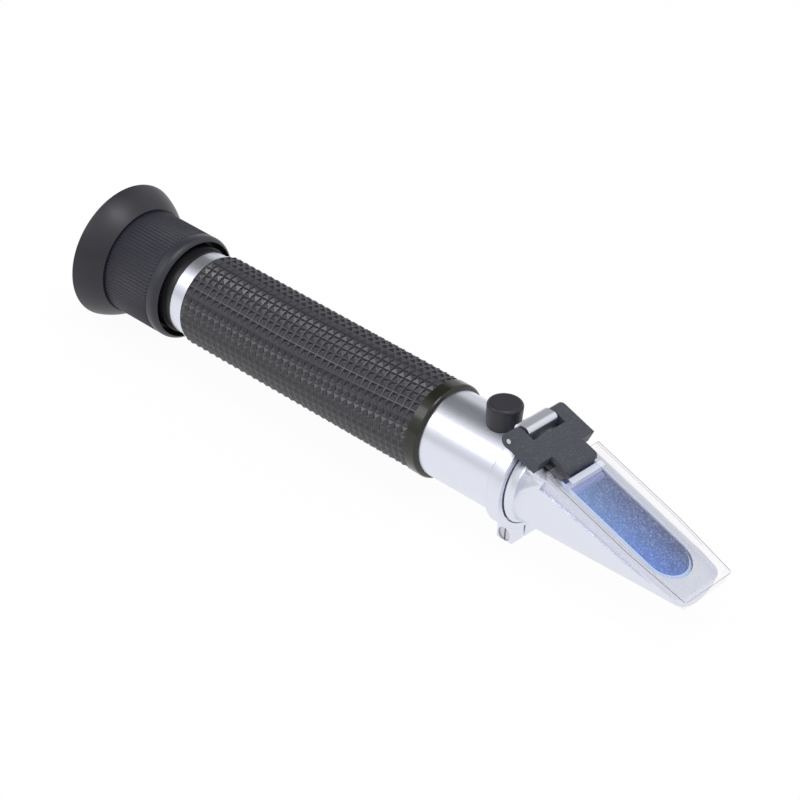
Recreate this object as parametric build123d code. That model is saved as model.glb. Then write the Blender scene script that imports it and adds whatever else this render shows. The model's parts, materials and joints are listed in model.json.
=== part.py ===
from build123d import *
import math
import os

# Handheld refractometer. Sizes are in millimetres.
# Drawing frame: the optical axis is X, pointing to the nose, z is up through the hinge, and x = 0 is the
# back edge of the grip. The finished pieces are then moved to lie on z = 0, centred in x.

# Fits
slip_gap = 0.05          # between pieces that are assembled and stay put
running_gap = 0.06       # radial, between pieces that turn or slide in each other
side_gap = 0.1           # axial, beside a flange that turns
rubber_gap = 0.15        # under the rubber cap
film_gap = 0.15          # between the cover plate and the prism, for the sample
lip_gap = 0.25           # between the cover plate's lips and the housing
weld = 0.1               # how far a shape reaches into the one that it is joined to
overrun = 1.0            # how far a cutting shape reaches past the face that it cuts
far = 40.0               # reach of a cutting shape that has to clear the whole part

# Main tube and grip
tube_radius = 12.5
tube_wall = 1.3
grip_length = 85.4
grip_pitch = 2.45        # of the pyramids, along and around
grip_wall = 0.5          # rubber below the pyramids
pyramid_height = 0.6
grip_stop_width = 0.5    # lip on the tube that the grip is pushed against
grip_stop_height = 0.6
tube_back_bare = 4.3     # bare tube behind that lip
end_ring_width = 4.1
end_ring_height = 1.15
end_ring_round = 1.0
tube_front_bare = 24.5

# Eyepiece
barrel_step = 0.5        # barrel's radius over the tube's
barrel_nose_step = 0.1
barrel_nose_width = 2.5
barrel_length = 14.8
barrel_spigot = 7.7
spigot_wall = 0.89
key_width = 2.0
key_height = 0.7
key_length = 6.0
key_stop_room = 0.5      # left at each end of the keyway at full travel
focus_travel = 3.0       # each way
ring_stop_room = 1.0     # left between the ring's web and the barrel at full travel
ring_length = 21.0
ring_gap_front = 2.8     # ring's front edge behind the barrel's front face
rib_count = 90
rib_length = 16.7
rib_height = 0.45
rib_start = 0.3          # bare edge behind the ribs
rib_groove_share = 0.3   # shares of a rib's pitch: its groove, each of its sides and its top
rib_side_share = 0.15
rib_top_share = 0.4
ring_wall = 2.6          # ribs included
ring_lip_reach = 2.4     # length of the rounded front lip
ring_lip_drop = 1.05     # how far its crest lies under the ring's radius
ring_lip_share = 0.3     # how near the lip's curve comes to a square corner
ring_dish = 1.6          # how far the bore's edge lies behind the ring's front edge
ring_mouth_gap = 0.9     # round the barrel, in the ring's mouth
ring_mouth_depth = 3.1
web_overlap = 1.3        # of the ring's web over the flange
web_width = 1.0
flange_drop = 0.1        # flange's radius under the barrel's
flange_width = 1.2
cell_wall = 1.35
cell_length = 19.8
cell_lip_width = 1.5
cell_lip_height = 1.05
lens_edge = 1.8
field_lens_bulge = 1.4
eye_lens_bulge = 1.2
retainer_width = 1.8
retainer_height = 1.1
retainer_inset = 0.4     # of every retaining ring, from the open end of its holder

# Eyecup
cup_length = 8.4
cup_base_step = 0.4      # eyecup's foot over the ring's radius
cup_middle_flare = 2.75  # outside radius half way along, over the foot's
cup_rim_flare = 4.3      # and at the rim
cup_rim_wall = 1.1
cup_middle_wall = 2.6    # half way along
cup_throat_step = 0.75   # throat's radius over the lens cell's bore
cup_throat_length = 3.0
cup_plug_length = 2.6

# Scale glass
scale_gap = 2.0          # from the barrel's spigot to the holder
scale_holder_wall = 2.15
scale_glass_width = 1.5
scale_holder_width = 5.5
scale_lip_width = 2.0
scale_lip_height = 1.0

# Light baffles
baffle_width = 2.0
baffle_aperture = 6.5
baffle_spacing = 17.0

# Objective lens, its carrier and the temperature strip
carrier_play = 2.0       # round the carrier, in the tube's bore
carrier_width = 5.2
carrier_wall = 3.0
objective_edge = 1.4
objective_bulge = 1.0
carrier_lip_height = 0.9
carrier_lip_width = 1.2
strip_length = 34.0
strip_width = 4.6
strip_thickness = 0.6
strip_rise = 0.5         # top of the strip above the carrier's lowest line
strip_play = 0.3
anchor_length = 10.0
anchor_width = 8.0
foot_wall = 0.6
anchor_screw_radius = 0.8
anchor_screw_head = 1.5
anchor_screw_height = 0.8
anchor_screw_depth = 0.85
anchor_slot_width = 0.4
anchor_screw_pitch = 5.0

# Calibration screw and its rubber cap
screw_setback = 7.0      # screw axis behind the hinge collar
screw_radius = 1.5
screw_tip_radius = 1.0
screw_head_radius = 2.4
screw_head_height = 1.3
screw_head_chamfer = 0.3
screw_slot_width = 0.6
screw_tip_reach = 2.0    # into the objective's carrier
bush_radius = 2.6
bush_boss_radius = 3.3
bush_boss_height = 3.3   # above the tube's top line
bush_inside = 1.0        # below the tube's bore
carrier_shift = 0.25     # each way
cap_base_radius = 4.7
cap_top_radius = 4.95
cap_height = 6.0         # above the tube's top line
cap_round = 1.0

# Hinge collar, its lugs and the clamp screw
collar_width = 4.7
collar_wall = 1.7
collar_chamfer = 0.35
hinge_lug_half_width = 5.7
hinge_lug_back = 1.0     # lug's back face ahead of the collar's
hinge_lug_length = 4.9
hinge_lug_height = 4.55  # above the collar
hinge_lug_round = 1.6
hinge_lug_under = 2.4    # overhanging underside below the pin axis
hinge_lug_slant = 0.6    # how much lower it is at the collar
pinch_lug_half_width = 5.5
pinch_lug_setback = 1.3  # back face behind the collar's
pinch_lug_length = 4.8
pinch_lug_round = 0.9
pinch_lug_height = 4.75  # below the collar
pinch_slit = 0.7
pinch_screw_height = 2.4   # screw axis below the collar
pinch_screw_radius = 1.2
pinch_head_radius = 1.95
pinch_head_length = 2.0
pinch_head_recess = 0.5
pinch_slot_depth = 0.8
pinch_far_wall = 1.0     # left beyond the screw's hole
pinch_screw_room = 0.5   # between the screw's end and the hole's

# Hinge
pin_ahead = 3.45         # pin axis ahead of the collar's back face
pin_depth = 2.45         # pin axis below the lug's top
pin_radius = 0.9
pin_recess = 0.15
pin_chamfer = 0.2
press_bite = 0.01
cover_tilt = 18.5        # degrees between the prism's face and the optical axis

# Hinge block, in the tilted frame of the pin
barrel_of_hinge = 2.2
block_under = 2.0        # underside below the pin axis
block_slot_side = 0.6    # play beside the hinge lug
block_slot_room = 1.65   # and in front of it
crossbar_width = 6.5
crossbar_slant = 0.35
tongue_half_width = 6.0
tongue_length = 5.5      # ahead of the crossbar
tongue_round = 1.2
tongue_slant = 0.6
tongue_neck_inset = 0.7  # each side
tongue_foot_outset = 0.8
tongue_foot_height = 0.8

# Cover plate, in the same frame
plate_nose_inset = 0.35  # half width at the nose, under the housing's
plate_gap = 2.3          # from the crossbar to the plate's arms
plate_taper_length = 19.5
plate_overhang = 1.87    # past the nose
plate_top = 0.66         # above the pin axis
notch_room = 1.5         # in front of the tongue
plate_corner_round = 1.0
lip_thickness = 0.9
lip_back_inset = 1.0     # lips' ends from the plate's back and front
lip_front_inset = 10.5
lip_depth_back = 3.4
lip_depth_front = 1.0
skirt_inset = 1.0        # at each corner of the front edge
skirt_depth = 1.4
skirt_thickness = 0.9

# Prism and its housing
prism_drop = 1.66        # prism face below the pin axis, square to the face
prism_half_width = 6.9
prism_back_ahead = 12.95  # back face of the prism ahead of the pin axis
prism_length = 38.8
prism_floor = 6.5        # underside of the prism below the axis
prism_bevel = 0.8
seal_width = 0.25
seal_depth = 1.0
neck_drop = 0.4          # neck's radius under the tube's
neck_width = 1.95
neck_ahead = 0.35        # of the collar's front
neck_fillet_length = 2.2
neck_fillet_middle = (0.35, 0.3)   # shares of the fillet's length and depth
spigot_length = 4.7
housing_drop = 1.6       # housing's radius behind the prism, under the tube's
housing_taper = 0.95     # how much less it is at the nose
nose_ahead = 56.5        # nose face ahead of the pin axis
nose_round = 2.6
housing_wall = 2.6       # round the bore that the light takes to the tube
shoulder_slope = 21.0    # degrees, of the cone that blends the round neck into the flat sides

# Radii and heights that follow from these sizes
tube_bore = tube_radius - tube_wall
insert_radius = tube_bore - slip_gap
barrel_radius = tube_radius + barrel_step
barrel_nose_radius = tube_radius + barrel_nose_step
cell_radius = insert_radius - spigot_wall - running_gap
cell_bore = cell_radius - cell_wall
ring_radius = barrel_radius + ring_wall
ring_mouth_radius = barrel_radius + ring_mouth_gap
flange_radius = barrel_radius - flange_drop
web_radius = flange_radius - web_overlap
cup_base_radius = ring_radius + cup_base_step
cup_bulge_radius = cup_base_radius + cup_middle_flare
rim_radius = cup_base_radius + cup_rim_flare
cup_throat_radius = cell_bore + cup_throat_step
scale_glass_radius = insert_radius - scale_holder_wall
carrier_radius = tube_bore - carrier_play
objective_radius = carrier_radius - carrier_wall
strip_drop = carrier_radius - strip_rise
collar_radius = tube_radius + slip_gap + collar_wall
hinge_lug_top = collar_radius + hinge_lug_height
pin_height = hinge_lug_top - pin_depth
pinch_lug_bottom = collar_radius + pinch_lug_height
pinch_screw_drop = collar_radius + pinch_screw_height
neck_radius = tube_radius - neck_drop
housing_back_radius = tube_radius - housing_drop
housing_nose_radius = housing_back_radius - housing_taper
light_bore_radius = housing_back_radius - housing_wall

# Places along the axis that follow from them
barrel_face = -grip_stop_width - tube_back_bare
end_ring_back = grip_length
end_ring_front = end_ring_back + end_ring_width
collar_back = end_ring_front + tube_front_bare
collar_front = collar_back + collar_width
pin_x = collar_back + pin_ahead
pinch_lug_back = collar_back - pinch_lug_setback
pinch_lug_front = pinch_lug_back + pinch_lug_length
pinch_screw_x = (pinch_lug_back + pinch_lug_front) / 2
neck_back = collar_front + neck_ahead - neck_width
tube_end = neck_back - slip_gap
screw_x = collar_back - screw_setback
barrel_back = barrel_face - barrel_length
ring_front = barrel_face - ring_gap_front
ring_back = ring_front - ring_length
key_back = barrel_back + focus_travel + key_stop_room
web_front = barrel_back - focus_travel - ring_stop_room
web_back = web_front - web_width
flange_front = web_back - side_gap
flange_back = flange_front - flange_width
cup_plug_front = flange_back - side_gap
rim_x = ring_back - cup_length
nose_x = pin_x + nose_ahead
prism_back = pin_x + prism_back_ahead

tilt = math.radians(cover_tilt)
pin_centre = Vector(pin_x, 0, pin_height)
down_slope = Vector(math.cos(tilt), 0, -math.sin(tilt))
off_slope = Vector(math.sin(tilt), 0, math.cos(tilt))
slope_side = Plane(origin=pin_centre, x_dir=down_slope, z_dir=(0, -1, 0))
slope_top = Plane(origin=pin_centre, x_dir=down_slope, z_dir=off_slope)

# Places in the tilted frame
block_half_width = housing_back_radius
block_slot_half_width = hinge_lug_half_width + block_slot_side
block_slot_front = hinge_lug_back + hinge_lug_length - pin_ahead + block_slot_room
crossbar_front = block_slot_front + crossbar_width
tongue_back = (block_slot_front + crossbar_front) / 2
tongue_front = crossbar_front + tongue_length
tongue_neck_half_width = tongue_half_width - tongue_neck_inset
tongue_foot_half_width = tongue_half_width + tongue_foot_outset
plate_half_width = housing_back_radius
plate_nose_half_width = housing_nose_radius - plate_nose_inset
plate_bottom = film_gap - prism_drop
plate_middle = (plate_bottom + plate_top) / 2
plate_back = crossbar_front + plate_gap
plate_front = (nose_ahead + prism_drop * math.sin(tilt)) / math.cos(tilt) + plate_overhang
plate_taper_start = plate_front - plate_taper_length
notch_front = tongue_front + notch_room
lip_back = plate_back + lip_back_inset
lip_front = plate_front - lip_front_inset
skirt_half_width = plate_nose_half_width - skirt_inset


def turned(*points):
    """A solid of revolution about the optical axis, from a closed outline of (x, radius) points."""
    return revolve(Plane.XZ * make_face(Polyline(*points, close=True)), Axis.X)


def tube(x_start, x_end, outer, inner):
    return turned((x_start, inner), (x_start, outer), (x_end, outer), (x_end, inner))


def rod(x_start, x_end, radius):
    return turned((x_start, 0), (x_start, radius), (x_end, radius), (x_end, 0))


def upright(x, y, z_low, z_high, radius):
    """A round bar along Z."""
    return Pos(x, y, (z_low + z_high) / 2) * Cylinder(radius, z_high - z_low)


def crosswise(x, z, y_low, y_high, radius):
    """A round bar along Y."""
    return Pos(x, (y_low + y_high) / 2, z) * Rot(90, 0, 0) * Cylinder(radius, y_high - y_low)


def block(x_low, x_high, y_half, z_low, z_high):
    centre = Pos((x_low + x_high) / 2, 0, (z_low + z_high) / 2)
    return centre * Box(x_high - x_low, 2 * y_half, z_high - z_low)


def slope_profile(points, y_half):
    """A side outline in the tilted frame of the hinge, as thick as twice y_half."""
    return extrude(slope_side * make_face(Polyline(*points, close=True)), y_half, both=True)


def slope_slab(points, low, high):
    """A plan outline in the tilted frame, between two heights over the pin axis."""
    return extrude(slope_top.offset(low) * make_face(Polyline(*points, close=True)), high - low)


def above_slope(height):
    """All the room above a plane that lies at a height over the pin axis, square to the slope."""
    reach = plate_front + far
    return slope_slab([(-far, -far), (reach, -far), (reach, far), (-far, far)], height, height + far)


def lens(x_back, x_front, radius, aperture, bulge_back, bulge_front):
    """A lens with a flat rim round faces that are parts of spheres; a bulge of 0 gives a flat face."""
    def face_lines(x, bulge, side):
        if bulge == 0:
            return [Line((x, radius), (x, 0))]
        ball = (aperture**2 + bulge**2) / (2 * bulge)
        half_way = math.sqrt(ball**2 - aperture**2 / 4) - ball + bulge
        curve = ThreePointArc((x, aperture), (x + side * half_way, aperture / 2), (x + side * bulge, 0))
        return [Line((x, radius), (x, aperture)), curve]

    edge = Line((x_back, radius), (x_front, radius))
    axis_line = Line((x_back - bulge_back, 0), (x_front + bulge_front, 0))
    outline = face_lines(x_back, bulge_back, -1) + face_lines(x_front, bulge_front, 1) + [edge, axis_line]
    return revolve(Plane.XZ * make_face(outline), Axis.X)


def main_tube():
    stop_radius = tube_radius + grip_stop_height
    body = turned((barrel_face, tube_bore), (barrel_face, tube_radius), (-grip_stop_width, tube_radius),
                  (-grip_stop_width, stop_radius), (0, stop_radius), (0, tube_radius),
                  (tube_end, tube_radius), (tube_end, tube_bore))
    return body - upright(screw_x, 0, 0, 2 * tube_radius, bush_radius + slip_gap)


def grip_sleeve():
    """A rubber sleeve whose outside is a grid of low square pyramids."""
    root = tube_radius + slip_gap + grip_wall
    peak = root + pyramid_height
    around = round(math.pi * (root + peak) / grip_pitch)
    rows = round(grip_length / grip_pitch)
    step = grip_length / rows

    def point(row, column, radius):
        angle = 2 * math.pi * column / around
        return Vector(row * step, radius * math.cos(angle), radius * math.sin(angle))

    faces = []
    for row in range(rows):
        for column in range(around):
            top = point(row + 0.5, column + 0.5, peak)
            corners = [point(row, column, root), point(row + 1, column, root),
                       point(row + 1, column + 1, root), point(row, column + 1, root)]
            for start, end in zip(corners, corners[1:] + corners[:1]):
                faces.append(Face(Wire.make_polygon([start, end, top])))
    for row in (0, rows):
        faces.append(Face(Wire.make_polygon([point(row, column, root) for column in range(around)])))
    return Solid(Shell(faces)) - rod(-overrun, grip_length + overrun, tube_radius + slip_gap)


def grip_end_ring():
    body = tube(end_ring_back + slip_gap, end_ring_front, tube_radius + slip_gap + end_ring_height,
                tube_radius + slip_gap)
    front = body.faces().sort_by(Axis.X)[-1]
    return fillet(front.outer_wire().edges(), end_ring_round)


def eyepiece_barrel():
    nose_back = barrel_face - barrel_nose_width
    spigot_end = barrel_face + barrel_spigot
    bore = cell_radius + running_gap
    body = turned((barrel_back, bore), (barrel_back, barrel_radius), (nose_back, barrel_radius),
                  (nose_back, barrel_nose_radius), (barrel_face, barrel_nose_radius),
                  (barrel_face, insert_radius), (spigot_end, insert_radius), (spigot_end, bore))
    slot_end = key_back + key_length + focus_travel + key_stop_room
    slot_top = cell_radius + key_height + slip_gap
    keyway = block(barrel_back - overrun, slot_end, key_width / 2 + slip_gap, 0, slot_top)
    return body - keyway


def ribbed_band(x_start, x_end, root, bore):
    """A ring with straight ribs along it, from one many-toothed outline."""
    top_start = rib_groove_share + rib_side_share
    top_end = top_start + rib_top_share
    corners = ((0, root), (rib_groove_share, root), (top_start, ring_radius), (top_end, ring_radius))
    outline = []
    for rib in range(rib_count):
        for share, radius in corners:
            angle = 2 * math.pi * (rib + share) / rib_count
            outline.append((radius * math.cos(angle), radius * math.sin(angle)))
    section = make_face(Polyline(*outline, close=True)) - Circle(bore)
    start = Plane(origin=(x_start, 0, 0), x_dir=(0, 1, 0), z_dir=(1, 0, 0))
    return extrude(start * section, x_end - x_start)


def focus_ring():
    root = ring_radius - rib_height
    thread_bore = barrel_radius + running_gap
    mouth_end = ring_front - ring_dish
    recess_end = mouth_end - ring_mouth_depth
    rib_end = ring_back + rib_length
    rear_bore = flange_radius + 2 * slip_gap
    lip_start = ring_front - ring_lip_reach
    crest = (ring_front, ring_radius - ring_lip_drop)
    shoulder = (ring_front - ring_lip_share * ring_lip_reach, ring_radius - ring_lip_share * ring_lip_drop)
    inside = Polyline(crest, (mouth_end, ring_mouth_radius), (recess_end, ring_mouth_radius),
                      (recess_end, thread_bore), (web_front, thread_bore), (web_front, web_radius),
                      (web_back, web_radius), (web_back, rear_bore), (ring_back, rear_bore))
    outside = Polyline((ring_back, rear_bore), (ring_back, root), (rib_end, root),
                       (rib_end + rib_height, ring_radius), (lip_start, ring_radius))
    lip = ThreePointArc((lip_start, ring_radius), shoulder, crest)
    body = revolve(Plane.XZ * make_face([inside, outside, lip]), Axis.X)
    return body + ribbed_band(ring_back + rib_start, rib_end, root - weld, (root + ring_mouth_radius) / 2)


def eyecup():
    """A soft bell: rounded outside, with a hollow that narrows to the throat."""
    throat_end = ring_back - (cup_throat_length - cup_plug_length)
    half_way = (ring_back + rim_x) / 2
    plug_radius = flange_radius + slip_gap
    rim_inner = rim_radius - cup_rim_wall
    outside = ThreePointArc((ring_back, cup_base_radius), (half_way, cup_bulge_radius), (rim_x, rim_radius))
    rim = Line((rim_x, rim_radius), (rim_x, rim_inner))
    hollow = (half_way, cup_bulge_radius - cup_middle_wall)
    inside = ThreePointArc((rim_x, rim_inner), hollow, (throat_end, cup_throat_radius))
    throat = Line((throat_end, cup_throat_radius), (cup_plug_front, cup_throat_radius))
    plug_end = Line((cup_plug_front, cup_throat_radius), (cup_plug_front, plug_radius))
    plug = Line((cup_plug_front, plug_radius), (ring_back, plug_radius))
    base = Line((ring_back, plug_radius), (ring_back, cup_base_radius))
    return revolve(Plane.XZ * make_face([outside, rim, inside, throat, plug_end, plug, base]), Axis.X)


def lens_cell():
    bore = cell_bore
    front = flange_front + cell_length - flange_width
    lip_back = front - cell_lip_width
    lip = bore - cell_lip_height
    body = turned((flange_back, bore), (flange_back, flange_radius), (flange_front, flange_radius),
                  (flange_front, cell_radius), (front, cell_radius), (front, lip), (lip_back, lip),
                  (lip_back, bore))
    key_top = cell_radius + key_height
    return body + block(key_back, key_back + key_length, key_width / 2, cell_radius - weld, key_top)


def lens_stack():
    """The two lenses and the spacer between them, stacked against the cell's front lip."""
    seat = cell_bore - slip_gap
    field_front = flange_front + cell_length - flange_width - cell_lip_width
    field_back = field_front - lens_edge
    retainer_back = flange_back + retainer_inset
    eye_back = retainer_back + retainer_width
    eye_front = eye_back + lens_edge
    inner = seat - retainer_height
    return {
        "field_lens": lens(field_back, field_front, seat, inner, field_lens_bulge, 0),
        "lens_spacer": tube(eye_front, field_back, seat, inner),
        "eye_lens": lens(eye_back, eye_front, seat, inner, eye_lens_bulge, eye_lens_bulge),
        "eye_lens_retainer": tube(retainer_back, eye_back, seat, inner),
    }


def scale_group():
    """The scale glass, in a stepped holder with a retaining ring, where the eyepiece focuses."""
    back = barrel_face + barrel_spigot + scale_gap
    lip_end = back + scale_lip_width
    glass_end = lip_end + scale_glass_width
    end = back + scale_holder_width
    seat = scale_glass_radius + slip_gap
    inner = scale_glass_radius - scale_lip_height
    holder = turned((back, inner), (back, insert_radius), (end, insert_radius), (end, seat),
                    (lip_end, seat), (lip_end, inner))
    return {
        "reticle_holder": holder,
        "reticle": rod(lip_end, glass_end, scale_glass_radius),
        "reticle_retainer": tube(glass_end, end - retainer_inset, scale_glass_radius, inner),
    }


def light_baffles():
    back = (grip_length - baffle_spacing) / 2
    places = {"light_baffle_back": back, "light_baffle_front": back + baffle_spacing}
    return {name: tube(x, x + baffle_width, insert_radius, baffle_aperture) for name, x in places.items()}


def objective_group():
    """The objective lens in its carrier, which the calibration screw shifts up and down."""
    back = screw_x - carrier_width / 2
    front = screw_x + carrier_width / 2
    lip_end = back + carrier_lip_width
    glass_end = lip_end + objective_edge
    seat = objective_radius + slip_gap
    inner = objective_radius - carrier_lip_height
    ring = turned((back, inner), (back, carrier_radius), (front, carrier_radius), (front, seat),
                  (lip_end, seat), (lip_end, inner))
    slot_top = -strip_drop + strip_play
    slot_bottom = -strip_drop - strip_thickness - strip_play
    slot_half = strip_width / 2 + strip_play
    foot = block(back, front, slot_half + foot_wall, slot_bottom - foot_wall, -seat)
    carrier = ring + (foot - rod(back - overrun, front + overrun, (seat + carrier_radius) / 2))
    carrier = carrier - block(back - overrun, front + overrun, slot_half, slot_bottom, slot_top)
    tip_hole = upright(screw_x, 0, carrier_radius - screw_tip_reach, carrier_radius + overrun,
                       screw_tip_radius + running_gap)
    return {
        "objective_holder": carrier - tip_hole,
        "objective_lens": lens(lip_end, glass_end, objective_radius, inner, 0, objective_bulge),
        "objective_retainer": tube(glass_end, front - retainer_inset, objective_radius, inner),
    }


def temperature_strip():
    """A bimetal strip, screwed to an anchor in the tube, whose free end carries the objective."""
    strip_front = screw_x + carrier_width / 2
    strip_back = strip_front - strip_length
    strip_bottom = -strip_drop - strip_thickness
    middle = strip_back + anchor_length / 2
    screw_places = (middle - anchor_screw_pitch / 2, middle + anchor_screw_pitch / 2)
    anchor = block(strip_back, strip_back + anchor_length, anchor_width / 2, -tube_bore, strip_bottom)
    anchor = anchor & rod(strip_back - overrun, strip_front, insert_radius)
    strip = block(strip_back, strip_front, strip_width / 2, strip_bottom, -strip_drop)
    screws = []
    for x in screw_places:
        hole_end = strip_bottom - anchor_screw_depth - slip_gap
        hole = upright(x, 0, hole_end, overrun - strip_drop, anchor_screw_radius + slip_gap)
        anchor = anchor - hole
        strip = strip - hole
        head_top = anchor_screw_height - strip_drop
        shank = upright(x, 0, strip_bottom - anchor_screw_depth, weld - strip_drop, anchor_screw_radius)
        head = upright(x, 0, -strip_drop, head_top, anchor_screw_head)
        slot = Pos(x, 0, head_top) * Box(3 * anchor_screw_head, anchor_slot_width, anchor_slot_width)
        screws.append(shank + head - slot)
    return {"bimetal_strip": strip, "strip_anchor": anchor, "strip_screws": Compound(children=screws)}


def calibration_bush():
    """The bush through the tube's wall, with a boss outside that the rubber cap plugs on."""
    top = tube_radius + bush_boss_height
    outside = rod(screw_x - far, screw_x + far, tube_radius + slip_gap)
    boss = upright(screw_x, 0, 0, top, bush_boss_radius) - outside
    neck = upright(screw_x, 0, tube_bore - bush_inside, top - weld, bush_radius)
    return boss + neck - upright(screw_x, 0, 0, top + overrun, screw_radius + running_gap)


def calibration_screw():
    seat = tube_radius + bush_boss_height + slip_gap
    tip_end = carrier_radius - screw_tip_reach + 2 * carrier_shift
    stem_end = carrier_radius + 2 * carrier_shift
    head = upright(screw_x, 0, seat, seat + screw_head_height, screw_head_radius)
    head = chamfer(head.edges().sort_by(Axis.Z)[-1], screw_head_chamfer)
    slot_cut = Box(3 * screw_head_radius, screw_slot_width, 2 * screw_slot_width)
    slot = Pos(screw_x, 0, seat + screw_head_height) * slot_cut
    stem = upright(screw_x, 0, stem_end, seat + weld, screw_radius)
    tip = upright(screw_x, 0, tip_end, seat, screw_tip_radius)
    return head - slot + stem + tip


def calibration_cap():
    """A rubber plug cap, a little wider at the top, whose foot follows the tube."""
    top = tube_radius + cap_height
    side = Polyline((0, 0), (cap_base_radius, 0), (cap_base_radius, tube_radius), (cap_top_radius, top),
                    (0, top), close=True)
    body = Pos(screw_x, 0, 0) * revolve(Plane.XZ * make_face(side), Axis.Z)
    body = fillet(body.edges().filter_by(GeomType.CIRCLE).sort_by(Axis.Z)[-1], cap_round)
    hollow_top = tube_radius + bush_boss_height + slip_gap + screw_head_height + 2 * rubber_gap
    body = body - upright(screw_x, 0, 0, hollow_top, bush_boss_radius + running_gap)
    return body - rod(screw_x - far, screw_x + far, tube_radius + rubber_gap)


def hinge_lug():
    low = (collar_radius + tube_radius) / 2
    back = collar_back + hinge_lug_back
    front = back + hinge_lug_length
    overhang = pin_height - hinge_lug_under
    outline = [(back, low), (back, hinge_lug_top), (front, hinge_lug_top), (front, overhang),
               (collar_front, overhang - hinge_lug_slant), (collar_front, low)]
    lug = extrude(Plane.XZ * make_face(Polyline(*outline, close=True)), hinge_lug_half_width, both=True)
    top_edges = lug.edges().filter_by(Axis.Y).sort_by(Axis.Z)[-2:]
    lug = fillet(top_edges, hinge_lug_round)
    return lug - crosswise(pin_x, pin_height, -far, far, pin_radius + running_gap)


def hinge_collar():
    """A split ring with the hinge lug on top and the pinch lug under it."""
    bore = tube_radius + slip_gap
    ring = tube(collar_back, collar_front, collar_radius, bore)
    outer_edges = ring.edges().filter_by(GeomType.CIRCLE).filter_by(lambda edge: edge.radius > bore + weld)
    ring = chamfer(outer_edges, collar_chamfer)
    pinch = block(pinch_lug_back, pinch_lug_front, pinch_lug_half_width, -pinch_lug_bottom, 0)
    pinch = fillet(pinch.edges().filter_by(Axis.X), pinch_lug_round)
    pinch = pinch - rod(pinch_lug_back - overrun, pinch_lug_front + overrun, bore)
    body = ring + pinch + hinge_lug()
    slit_back = min(pinch_lug_back, collar_back) - overrun
    slit_front = max(pinch_lug_front, collar_front) + overrun
    slit = block(slit_back, slit_front, pinch_slit / 2, -far, overrun - tube_radius)
    head_end = pinch_head_length + pinch_head_recess - pinch_lug_half_width
    hole_end = pinch_lug_half_width - pinch_far_wall
    recess = crosswise(pinch_screw_x, -pinch_screw_drop, -far, head_end, pinch_head_radius + slip_gap)
    hole = crosswise(pinch_screw_x, -pinch_screw_drop, -far, hole_end, pinch_screw_radius + slip_gap)
    return body - slit - recess - hole


def clamp_screw():
    head_start = pinch_head_recess - pinch_lug_half_width
    head_end = head_start + pinch_head_length
    head = crosswise(pinch_screw_x, -pinch_screw_drop, head_start, head_end - slip_gap, pinch_head_radius)
    shank_end = pinch_lug_half_width - pinch_far_wall - pinch_screw_room
    shank = crosswise(pinch_screw_x, -pinch_screw_drop, head_start, shank_end, pinch_screw_radius)
    slot_cut = Box(screw_slot_width, 2 * pinch_slot_depth, 3 * pinch_head_radius)
    slot = Pos(pinch_screw_x, head_start, -pinch_screw_drop) * slot_cut
    return head + shank - slot


def housing_radius(x):
    """The housing's radius at x, which tapers from behind the prism to the nose."""
    start = neck_back + neck_width
    share = (x - start) / (nose_x - start)
    return housing_back_radius + share * (housing_nose_radius - housing_back_radius)


def pocket_outline(grow):
    """Plan of the prism: square at the back, round at the nose end."""
    half = prism_half_width + grow
    back = prism_back - grow
    straight_end = prism_back + prism_length - prism_half_width
    top = Line((back, half), (straight_end, half))
    tip = ThreePointArc((straight_end, half), (straight_end + half, 0), (straight_end, -half))
    bottom = Line((straight_end, -half), (back, -half))
    end = Line((back, -half), (back, half))
    return make_face([top, tip, bottom, end])


def lip_outline(gap, top):
    """Side outline of a cover lip in the tilted frame, grown by a gap for the housing's rebate."""
    back = lip_back - gap
    front = lip_front + gap
    low_back = plate_bottom - lip_depth_back - gap
    low_front = plate_bottom - lip_depth_front - gap
    return [(back, top), (back, low_back), (front, low_front), (front, top)]


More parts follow.
